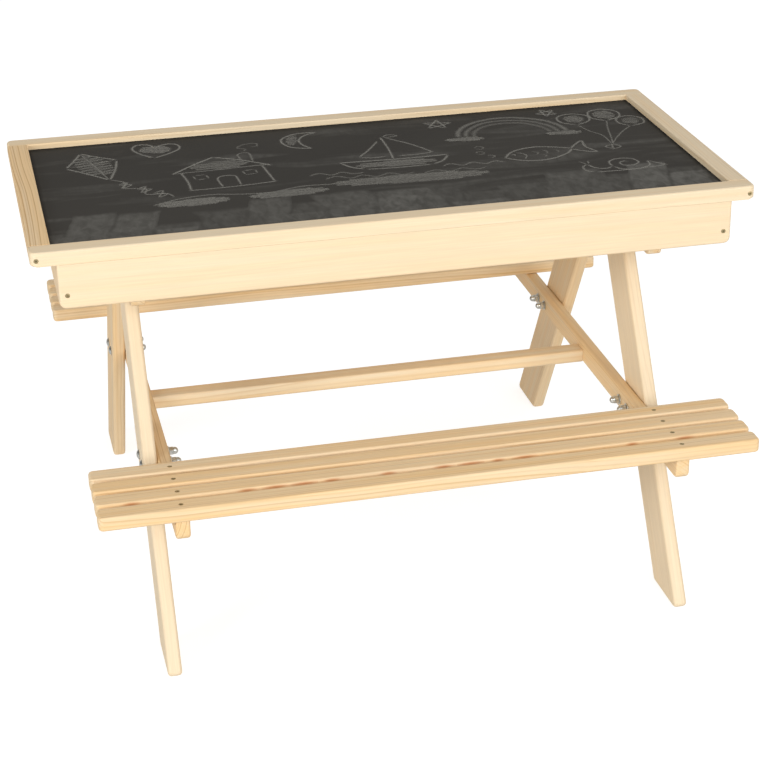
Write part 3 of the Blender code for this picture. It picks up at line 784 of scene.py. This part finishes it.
def turned(name, rings, segments, closed=False):
    """Models a turned piece: a circle is extruded from one (radius, height) ring to the next."""
    deselect()
    fill = "NOTHING" if closed else "NGON"
    first_radius, first_height = rings[0]
    bpy.ops.mesh.primitive_circle_add(
        vertices=segments, radius=first_radius, fill_type=fill, location=(0, 0, first_height)
    )
    piece = bpy.context.object
    piece.name = name
    edit_all(piece)
    for (radius, height), (next_radius, next_height) in zip(rings, rings[1:]):
        move = {"value": (0, 0, next_height - height)}
        if closed:
            bpy.ops.mesh.extrude_edges_move(TRANSFORM_OT_translate=move)
        else:
            bpy.ops.mesh.extrude_region_move(TRANSFORM_OT_translate=move)
        ratio = next_radius / radius
        bpy.ops.transform.resize(value=(ratio, ratio, 1), center_override=(0, 0, next_height))
    bpy.ops.object.mode_set(mode="OBJECT")
    settle(piece)
    clean_mesh(piece)
    return piece


def smooth(piece, degrees):
    """Shades a piece smooth, with a crease wherever its faces meet at more than that angle."""
    choose(piece)
    bpy.ops.object.shade_smooth_by_angle(angle=math.radians(degrees))


def merged_copy(node):
    """A copy of a CAD board, with its loose triangles merged into whole faces."""
    piece = new_object(node + "_timber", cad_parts[node].data.copy())
    edit_all(piece)
    bpy.ops.mesh.customdata_custom_splitnormals_clear()
    bpy.ops.mesh.remove_doubles(threshold=0.00001)
    bpy.ops.mesh.dissolve_limited(angle_limit=math.radians(0.5))
    bpy.ops.object.mode_set(mode="OBJECT")
    return piece


def tighten(piece, node, front):
    """Sharpens the lower outer edge of a long lid rail, which lies on an apron without a visible joint."""
    low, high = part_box(node)
    face = outer_face(node, front)
    for vert in piece.data.vertices:
        rise = vert.co.z - low.z
        inset = face - vert.co.dot(front)
        if rise < RAIL_ROUNDING and inset < RAIL_ROUNDING and abs(vert.co.x) < high.x - RAIL_END_ROUNDING:
            vert.co += Vector((0, 0, -SHARPENED * rise - TIGHTENED)) + front * SHARPENED * inset


def sink(piece, cuts):
    """Cuts a round sloping hole into a board for each (place, axis, top radius, bottom radius, depth)."""
    cones = []
    for place, axis, top, bottom, depth in cuts:
        deselect()
        wide = 2 * top - bottom
        bpy.ops.mesh.primitive_cone_add(vertices=48, radius1=bottom, radius2=wide, depth=2 * depth)
        cone = bpy.context.object
        cone.data.transform(Matrix.Translation(place) @ pointing(axis))
        cones.append(cone)
    choose(*cones)
    if len(cones) > 1:
        bpy.ops.object.join()
    boolean(piece, cones[0], "DIFFERENCE")


def mark_grain(piece, node, along, across):
    """Stores where each point lies in the tree that its board was sawn from, for the timber finish."""
    low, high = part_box(node)
    middle = (low + high) / 2
    through = along.cross(across)
    heart_across, heart_through, warmth, contrast, knots = BOARD_GROWTH[node]
    heart = Vector((0, heart_across / 1000, heart_through / 1000))
    number = list(BOARD_GROWTH).index(node)
    start = Vector((3.1 + 2.7 * number, 0, 0))
    row = Vector((low.y, high.z - KNOT_ROW_DEPTH)) if knots == ROW else Vector((1, 1))
    grains = []
    row_reaches = []
    for vert in piece.data.vertices:
        away = vert.co - middle
        inside = Vector((away.dot(along), away.dot(across), away.dot(through)))
        grains.extend(inside - heart + start)
        row_reaches.append((vert.co.yz - row).length)
    growths = (warmth, contrast, knots) * len(piece.data.vertices)
    for name, kind, field, values in (
        ("grain", "FLOAT_VECTOR", "vector", grains),
        ("growth", "FLOAT_VECTOR", "vector", growths),
        ("row_reach", "FLOAT", "value", row_reaches),
    ):
        piece.data.attributes.new(name, kind, "POINT").data.foreach_set(field, values)


def dress_board(node, along, across, body="table", material=None):
    """Stands a finished board in for a CAD node."""
    piece = merged_copy(node)
    if node in ("lid_front_rail", "lid_back_rail"):
        tighten(piece, node, OUTWARD[node.split("_")[1]])
    if node in SCREWED_BOARDS:
        sink(piece, countersinks(node))
    elif node.startswith("leg"):
        sink(piece, head_dishes(node))
    smooth(piece, 35)
    weights = piece.modifiers.new("Flat faces", "WEIGHTED_NORMAL")
    weights.keep_sharp = True
    weights.weight = 80
    apply_modifiers(piece)
    mark_grain(piece, node, along, across)
    finished(piece, material or pine(), body)
    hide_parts(node)


def screws_in(node):
    """Places and axes of the two wood screws in a board: in the top of a slat, and else in an outer face."""
    if "slat" in node:
        reach, axis = LEVEL_WITH_BEAM, Z_AXIS
        middle = Vector((0, box_middle(node).y, outer_face(node, axis)))
    else:
        reach, height = LID_SCREWS if "lid" in node else APRON_SCREWS
        axis = OUTWARD[node.split("_")[1]]
        middle = Z_AXIS * height + axis * outer_face(node, axis)
    return [(middle + X_AXIS * x, axis) for x in (-reach, reach)]


def countersinks(node):
    """What the heads of its screws take out of a board, a little wider and deeper than the heads."""
    radius = bpy.context.scene.picnic_fasteners.screw_head / 2
    return [(place, axis, radius * 1.06, radius * 0.40, radius * 0.74) for place, axis in screws_in(node)]


def head_dishes(leg):
    """What the heads of its two bolts crush in the outer face of a leg."""
    outward = OUTWARD[leg.split("_")[2]]
    found = []
    for number in (1, 2):
        bolt = f"{leg.replace('leg', 'bolt')}_{number}"
        place = box_middle(bolt)
        place.x = outward.x * outer_face(leg, outward)
        rim = box_sides(bolt)[1] / 2
        found.append((place, outward, rim + bpy.context.scene.picnic_fasteners.head_dish, rim, DISH_DEPTH))
    return found


class PICNIC_OT_lid_rails(bpy.types.Operator):
    """Finish the four rails of the lid"""

    bl_idname = "picnic.lid_rails"
    bl_label = "Lid rails"

    def execute(self, context):
        for end in ENDS:
            dress_board(f"lid_{end}_rail", X_AXIS, Y_AXIS, "lid")
        for side in SIDES:
            dress_board(f"lid_{side}_rail", Y_AXIS, -X_AXIS, "lid")
        return {"FINISHED"}


class PICNIC_OT_chalkboard(bpy.types.Operator):
    """Paint the chalkboard"""

    bl_idname = "picnic.chalkboard"
    bl_label = "Chalkboard"

    def execute(self, context):
        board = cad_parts["lid_chalkboard"]
        paint = made_once("chalkboard", chalkboard_paint, context.scene.picnic_chalkboard)
        board.data.materials.clear()
        board.data.materials.append(paint)
        return {"FINISHED"}


def smooth_path(points):
    """Points every few millimetres on a smooth curve through the given ones."""
    ends = [points[0] * 2 - points[1], *points, points[-1] * 2 - points[-2]]
    path = [points[0]]
    for before, start, end, after in zip(ends, ends[1:], ends[2:], ends[3:]):
        steps = max(1, round((end - start).length / STROKE_STEP))
        for step in range(1, steps + 1):
            t = step / steps
            bend = (2 * before - 5 * start + 4 * end - after) * t**2
            twist = (3 * start - before - 3 * end + after) * t**3
            path.append((2 * start + (end - before) * t + bend + twist) / 2)
    return path


def lay_stroke(points, width, pressure, height):
    """Models one chalk stroke: a flat grid, three points wide, laid along its path."""
    path = smooth_path(points)
    count = len(path) - 1
    deselect()
    bpy.ops.mesh.primitive_grid_add(x_subdivisions=count, y_subdivisions=2, size=2)
    stroke = bpy.context.object
    chalk = stroke.data.attributes.new("chalk", "FLOAT", "POINT")
    for vert in stroke.data.vertices:
        step = round((vert.co.x + 1) / 2 * count)
        side = vert.co.y
        heading = (path[min(step + 1, count)] - path[max(step - 1, 0)]).normalized()
        place = path[step] + Vector((-heading.y, heading.x)) * side * width / 2
        fade = min(1.0, min(step, count - step) / 2)
        chalk.data[vert.index].value = pressure * (1 - abs(side)) * fade
        vert.co = (place.x, place.y, height + STROKE_RISE * step / count)
    return stroke


class PICNIC_OT_drawing(bpy.types.Operator):
    """Draw with chalk on the chalkboard"""

    bl_idname = "picnic.drawing"
    bl_label = "Chalk drawing"

    def execute(self, context):
        top = outer_face("lid_chalkboard", Z_AXIS)
        chalk = made_once("chalk", chalk_dust, context.scene.picnic_chalkboard)
        unsteady = random.Random(5)
        layer = 0
        for name, place, turn, size, strokes in DRAWINGS:
            laid = []
            spin = Matrix.Rotation(math.radians(turn), 2)
            for width, pressure, points in strokes:
                path = []
                for point in points:
                    drawn = Vector([at + unsteady.uniform(-UNSTEADY, UNSTEADY) for at in point])
                    path.append((Vector(place) + spin @ drawn * size) / 1000)
                height = top + STROKE_LIFT + layer * STROKE_RISE
                laid.append(lay_stroke(path, width / 1000, pressure, height))
                layer = (layer + 1) % STROKE_LAYERS
            choose(*laid)
            bpy.ops.object.join()
            drawing = bpy.context.object
            drawing.name = f"chalk_{name}"
            drawing.data.name = drawing.name
            finished(drawing, chalk, "lid")
        return {"FINISHED"}


class PICNIC_OT_play_box(bpy.types.Operator):
    """Finish the aprons, the ends and the floor of the play box"""

    bl_idname = "picnic.play_box"
    bl_label = "Play box"

    def execute(self, context):
        for end in ENDS:
            dress_board(f"box_{end}_apron", X_AXIS, Z_AXIS)
        for side in SIDES:
            dress_board(f"box_{side}_end", Y_AXIS, Z_AXIS)
        plywood = made_once("plywood", bare_plywood, context.scene.picnic_pine)
        dress_board("box_floor", X_AXIS, Y_AXIS, material=plywood)
        return {"FINISHED"}


def leg_direction(node, outward):
    """Which way a leg runs up, from how wide and how tall its board lies in its box."""
    _, span, height = box_sides(node)
    lean = math.acos(LEG_WIDTH / math.hypot(span, height)) - math.atan2(height, span)
    return Z_AXIS * math.cos(lean) - outward * math.sin(lean)


class PICNIC_OT_legs(bpy.types.Operator):
    """Finish the four legs"""

    bl_idname = "picnic.legs"
    bl_label = "Legs"

    def execute(self, context):
        for end in ENDS:
            for side in SIDES:
                node = f"leg_{end}_{side}"
                along = leg_direction(node, OUTWARD[end])
                dress_board(node, along, along.cross(X_AXIS))
        return {"FINISHED"}


class PICNIC_OT_cross_rails(bpy.types.Operator):
    """Finish the top rails, the seat beams and the stretcher"""

    bl_idname = "picnic.cross_rails"
    bl_label = "Cross rails"

    def execute(self, context):
        for side in SIDES:
            dress_board(f"top_rail_{side}", Y_AXIS, Z_AXIS)
            dress_board(f"seat_beam_{side}", Y_AXIS, Z_AXIS)
        dress_board("stretcher", X_AXIS, Y_AXIS)
        return {"FINISHED"}


class PICNIC_OT_slats(bpy.types.Operator):
    """Finish the slats of the two benches"""

    bl_idname = "picnic.slats"
    bl_label = "Bench slats"

    def execute(self, context):
        for end in ENDS:
            for number in range(1, 5):
                dress_board(f"{end}_slat_{number}", X_AXIS, Y_AXIS)
        return {"FINISHED"}


def screw_model(radius):
    """Models a countersunk screw's head with a cross recess, its top at the origin and +Z outwards."""
    rim = radius * 0.06
    rings = [
        (radius * 0.42, -radius * 0.66),
        (radius, -rim),
        (radius * 0.975, -rim * 0.3),
        (radius * 0.92, 0.0),
    ]
    head = turned("screw", rings, 32)
    for spin in (0.0, math.pi / 2):
        deselect()
        bpy.ops.mesh.primitive_cube_add(size=2, scale=(radius * 0.56, radius * 0.13, radius * 0.45))
        slot = bpy.context.object
        settle(slot)
        bpy.ops.object.mode_set(mode="EDIT")
        bpy.ops.mesh.select_all(action="DESELECT")
        bpy.ops.object.mode_set(mode="OBJECT")
        for polygon in slot.data.polygons:
            polygon.select = polygon.normal.z < -0.5
        bpy.ops.object.mode_set(mode="EDIT")
        bpy.ops.transform.resize(value=(0.35, 0.6, 1), center_override=(0, 0, 0))
        bpy.ops.object.mode_set(mode="OBJECT")
        slot.data.transform(Matrix.Rotation(spin, 4, "Z"))
        boolean(head, slot, "DIFFERENCE")
    smooth(head, 35)
    return head


class PICNIC_OT_screws(bpy.types.Operator):
    """Drive the wood screws into the lid, the aprons and the slats"""

    bl_idname = "picnic.screws"
    bl_label = "Wood screws"

    def execute(self, context):
        model = screw_model(context.scene.picnic_fasteners.screw_head / 2)
        turns = random.Random(11)
        screws = [(node, *screw) for node in SCREWED_BOARDS for screw in screws_in(node)]
        for number, (node, place, axis) in enumerate(screws, start=1):
            sunk = place - axis * SCREW_SUNK
            matrix = Matrix.Translation(sunk) @ pointing(axis, turns.uniform(0, math.pi / 2))
            screw = placed_copy(model, f"screw_{number}_{node}", matrix)
            finished(screw, yellow_zinc(), "lid" if "lid" in node else "table")
        bpy.data.objects.remove(model, do_unlink=True)
        return {"FINISHED"}


def bolt_model(length, head_radius):
    """Models an M6 carriage bolt, with the head's seat at the origin and +Z outwards."""
    dome = (head_radius**2 + HEAD_HEIGHT**2) / (2 * HEAD_HEIGHT)
    sweep = math.asin(head_radius / dome)
    rings = [(TIP_RADIUS, -length), (SHANK_RADIUS, TIP_LENGTH - length), (SHANK_RADIUS, 0.0)]
    rings += [(head_radius * 0.985, 0.0), (head_radius, 0.0003)]
    for step in range(1, 13):
        angle = sweep * (1 - step / 13)
        rings.append((dome * math.sin(angle), HEAD_HEIGHT - dome * (1 - math.cos(angle))))
    bolt = turned("bolt", rings, 48)
    deselect()
    neck_size = (NECK_WIDTH, NECK_WIDTH, NECK_TOP - NECK_BOTTOM)
    bpy.ops.mesh.primitive_cube_add(size=1, scale=neck_size, location=(0, 0, (NECK_TOP + NECK_BOTTOM) / 2))
    neck = bpy.context.object
    settle(neck)
    boolean(bolt, neck, "UNION")
    smooth(bolt, 40)
    return bolt


def washer_model(outer, thickness):
    """Models a plain washer with its stamped edges rounded, centred."""
    inner = BORE_RADIUS
    top = thickness / 2
    ease = thickness * 0.18
    rings = [
        (inner + ease, top),
        (outer - ease, top),
        (outer, top - ease),
        (outer, ease - top),
        (outer - ease, -top),
        (inner + ease, -top),
        (inner, ease - top),
        (inner, top - ease),
        (inner + ease, top),
    ]
    washer = turned("washer", rings, 48, closed=True)
    smooth(washer, 30)
    return washer


def cap_nut_model(flats, height):
    """Models a cap nut with its seat at the origin and its cap at -Z.

    It is a prism trimmed by a chamfered barrel, joined to a ball end on a short neck, with a blind bore.
    """
    corner = flats / math.sqrt(3)
    hexagon = HEXAGON_HEIGHT
    middle = (0, 0, -hexagon / 2)
    deselect()
    bpy.ops.mesh.primitive_cylinder_add(vertices=6, radius=corner, depth=hexagon, location=middle)
    nut = bpy.context.object
    settle(nut)
    ease = (corner - flats / 2) * 0.95
    narrow = flats / 2 * 0.97
    wide = corner * 1.03
    barrel = [(narrow, -hexagon - 0.0001), (narrow, -hexagon), (wide, ease - hexagon)]
    barrel += [(wide, -ease), (narrow, 0.0), (narrow, 0.0001)]
    boolean(nut, turned("barrel", barrel, 64), "INTERSECT")
    rings = []
    for step in range(1, 13):
        angle = math.pi / 2 * step / 12
        rings.append((CAP_RADIUS * math.sin(angle), CAP_RADIUS * (1 - math.cos(angle)) - height))
    neck = CAP_RADIUS * 0.94
    rings += [(CAP_RADIUS, -hexagon - 0.0006), (neck, -hexagon - 0.0002), (neck, -hexagon / 2)]
    boolean(nut, turned("cap", rings, 48), "UNION")
    bore = [(BORE_RADIUS, -BORE_DEPTH), (BORE_RADIUS, -0.0005), (BORE_RADIUS + 0.0006, 0.0001)]
    boolean(nut, turned("bore", bore, 48), "DIFFERENCE")
    smooth(nut, 25)
    return nut


class PICNIC_OT_bolts(bpy.types.Operator):
    """Bolt the legs to the seat beams with carriage bolts, washers and cap nuts"""

    bl_idname = "picnic.bolts"
    bl_label = "Carriage bolts"

    def execute(self, context):
        length, head, _ = box_sides("bolt_front_right_1")
        thickness, width, _ = box_sides("washer_front_right_1")
        height, _, flats = box_sides("nut_front_right_1")
        kinds = {
            "bolt": (bolt_model(length - HEAD_HEIGHT, head / 2), HEAD_HEIGHT),
            "washer": (washer_model(width / 2, thickness), thickness / 2),
            "nut": (cap_nut_model(flats, height), 0.0),
        }
        for place in (f"{end}_{side}_{number}" for end in ENDS for side in SIDES for number in (1, 2)):
            outward = OUTWARD[place.split("_")[1]]
            for kind, (model, proud) in kinds.items():
                node = f"{kind}_{place}"
                seat = box_middle(node)
                seat.x = outward.x * (outer_face(node, outward) - proud)
                piece = placed_copy(model, node + "_zinc", Matrix.Translation(seat) @ pointing(outward))
                finished(piece, bright_zinc(), "table")
                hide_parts(node)
        for model, _ in kinds.values():
            bpy.data.objects.remove(model, do_unlink=True)
        return {"FINISHED"}


def soft_box(name, place, target, size, power):
    """Adds a large soft studio light that faces a point."""
    light = bpy.data.lights.new(name, "AREA")
    light.shape = "RECTANGLE"
    light.size, light.size_y = size
    light.energy = power
    lamp = bpy.data.objects.new(name, light)
    lamp.location = place
    lamp.rotation_euler = (Vector(target) - Vector(place)).to_track_quat("-Z", "Y").to_euler()
    bpy.context.scene.collection.objects.link(lamp)


def studio_floor():
    """A plain white floor with a faint smooth shade, as of painted board."""
    material, add, shader = new_material("white studio floor")
    place = add("TexCoord").outputs["Object"]
    cloud = add("TexNoise", {"Vector": place, "Scale": 0.4, "Detail": 1.0})
    shade = add("MapRange", {0: cloud, 3: 0.44, 4: 0.46})

    # The floor looks white, and gives the table less light than it would if it were that bright
    seen = add("LightPath").outputs["Is Camera Ray"]
    glow = add("MapRange", {0: seen, 3: 0.28, 4: 0.76})
    looks = {"Base Color": shade, "Roughness": 0.9, "Specular IOR Level": 0.1}
    feed(shader, {**looks, "Emission Color": (1.0, 1.0, 1.0, 1.0), "Emission Strength": glow})
    return material


class PICNIC_OT_studio(bpy.types.Operator):
    """Set up the floor, the light and the camera"""

    bl_idname = "picnic.studio"
    bl_label = "Studio"

    def execute(self, context):
        scene = context.scene
        settings = scene.picnic_studio
        deselect()
        bpy.ops.mesh.primitive_plane_add(size=60)
        floor = bpy.context.object
        floor.name = "floor"
        floor.data.materials.append(studio_floor())

        soft_box("key", (1.6, -4.6, 1.9), (0, 0, 0.3), (3.4, 2.2), settings.key)
        soft_box("fill", (-4.2, -2.8, 1.8), (0, 0, 0.3), (2.6, 2.2), settings.fill)
        world = bpy.data.worlds.new("plain surround")
        world.use_nodes = True
        add = partial(add_node, world.node_tree)
        seen = add("LightPath").outputs["Is Camera Ray"]
        direction = add("TexCoord").outputs["Generated"]
        right = add("SeparateXYZ", direction).outputs["X"]

        # The far left of the room is dark, which shows in the bolts
        reached = add("MapRange", right, -0.80, -0.30, 0.03 * settings.sky, settings.sky)
        level = add("MapRange", {0: seen, 3: reached})
        feed(world.node_tree.nodes["Background"], {"Color": (1.0, 1.0, 1.0, 1.0), "Strength": level})
        scene.world = world

        camera = bpy.data.cameras.new("camera")
        camera.sensor_width = 36.0
        camera.lens = FOCAL_LENGTH
        viewpoint = bpy.data.objects.new("camera", camera)
        viewpoint.location = VIEWPOINT
        viewpoint.rotation_euler = [math.radians(angle) for angle in VIEW_TURN]
        scene.collection.objects.link(viewpoint)
        scene.camera = viewpoint
        scene.view_settings.view_transform = "Standard"
        return {"FINISHED"}


class PICNIC_PT_sidebar(bpy.types.Panel):
    """Lists the steps that finish the table"""

    bl_idname = "PICNIC_PT_sidebar"
    bl_label = "Kids Picnic Table"
    bl_space_type = "VIEW_3D"
    bl_region_type = "UI"
    bl_category = "Picnic Table"

    def draw(self, context):
        layout = self.layout
        for operator in operators:
            layout.operator(operator.bl_idname)
        for name in settings_groups:
            group = getattr(context.scene, name)
            box = layout.box()
            for key in group.__annotations__:
                box.prop(group, key)


settings_groups = {
    "picnic_pine": PineSettings,
    "picnic_chalkboard": ChalkboardSettings,
    "picnic_fasteners": FastenerSettings,
    "picnic_studio": StudioSettings,
}
operators = (
    PICNIC_OT_lid_rails,
    PICNIC_OT_chalkboard,
    PICNIC_OT_drawing,
    PICNIC_OT_play_box,
    PICNIC_OT_legs,
    PICNIC_OT_cross_rails,
    PICNIC_OT_slats,
    PICNIC_OT_screws,
    PICNIC_OT_bolts,
    PICNIC_OT_studio,
)
materials = {}


def register():
    """Registers the settings, the operators and the panel."""
    for cls in (*settings_groups.values(), *operators, PICNIC_PT_sidebar):
        bpy.utils.register_class(cls)
    for name, group in settings_groups.items():
        setattr(bpy.types.Scene, name, PointerProperty(type=group))


def unregister():
    """Removes what register added."""
    for name in settings_groups:
        delattr(bpy.types.Scene, name)
    for cls in reversed((*settings_groups.values(), *operators, PICNIC_PT_sidebar)):
        bpy.utils.unregister_class(cls)


def main():
    """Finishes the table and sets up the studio."""
    register()
    bpy.ops.picnic.lid_rails()
    bpy.ops.picnic.chalkboard()
    bpy.ops.picnic.drawing()
    bpy.ops.picnic.play_box()
    bpy.ops.picnic.legs()
    bpy.ops.picnic.cross_rails()
    bpy.ops.picnic.slats()
    bpy.ops.picnic.screws()
    bpy.ops.picnic.bolts()
    bpy.ops.picnic.studio()


if __name__ == "__main__":
    main()
